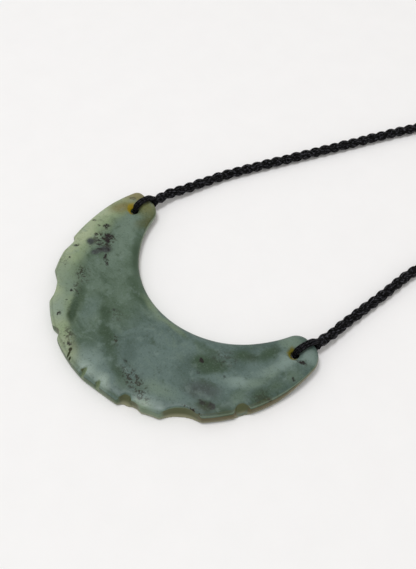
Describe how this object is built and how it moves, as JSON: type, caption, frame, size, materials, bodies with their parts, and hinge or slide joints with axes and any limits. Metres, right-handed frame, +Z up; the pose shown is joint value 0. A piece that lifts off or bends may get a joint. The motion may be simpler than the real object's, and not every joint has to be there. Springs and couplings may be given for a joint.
{
  "type": "greenstone breastplate pendant",
  "caption": "Flat crescent of polished greenstone with a notched lower rim, hung at both horns from a plaited black neck cord that closes behind the neck.",
  "frame": {"origin": "the middle of the stone's outline seen from above, on the surface that the stone lies on", "axes": "+X across the crescent towards its right horn, +Y from the lowest rim towards the horns and the neck, +Z up out of the polished face"},
  "size_m": [0.1208, 0.2391, 0.0067],
  "materials": {
    "greenstone": "polished",
    "black_thread": "matte",
    "black_plait": "matte",
    "clasp_metal": "satin"
  },
  "bodies": {
    "root": {"breastplate": "greenstone", "left_hole_loop": "black_thread", "right_hole_loop": "black_thread", "left_cord": "black_plait", "right_cord": "black_plait", "back_clasp": "clasp_metal"}
  },
  "joints": []
}
